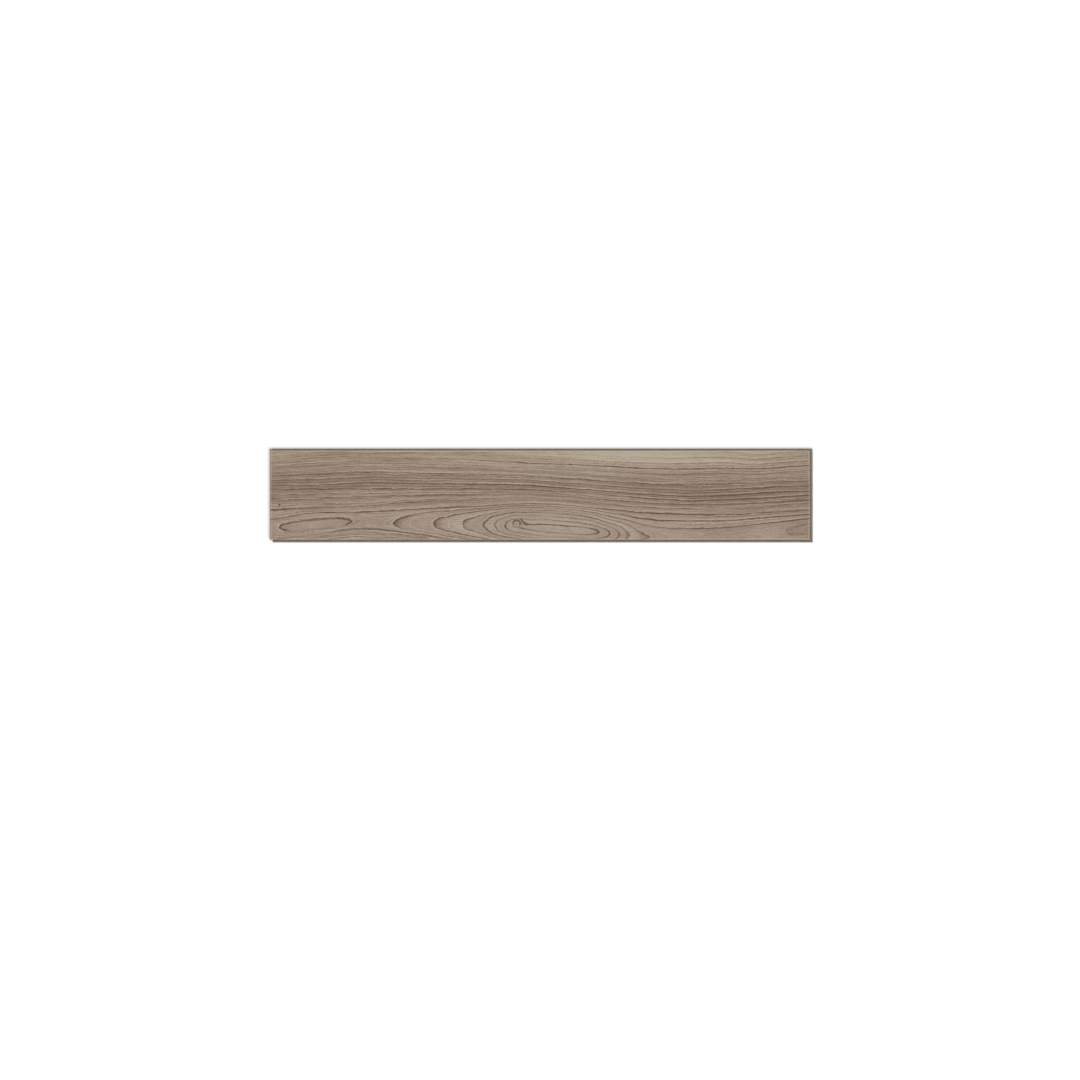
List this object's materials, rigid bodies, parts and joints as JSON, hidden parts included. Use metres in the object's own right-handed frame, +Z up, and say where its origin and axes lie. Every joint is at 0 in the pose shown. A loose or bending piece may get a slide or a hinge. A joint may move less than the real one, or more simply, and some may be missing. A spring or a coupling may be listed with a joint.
{
  "type": "vinyl floor plank",
  "caption": "Flat wood-look vinyl floor plank with a bevel round its face, a tongue and a grooved lip along its long edges, and a hook and a channel at its ends that lock to like planks.",
  "frame": {"origin": "on the underside, straight below the middle of the decor face", "axes": "+X along the plank towards the end with the channel, +Y across it towards the tongue, +Z up out of the decor face"},
  "size_m": [0.9192, 0.1588, 0.005],
  "materials": {
    "vinyl": "satin"
  },
  "bodies": {
    "root": {"plank": "vinyl"}
  },
  "joints": []
}
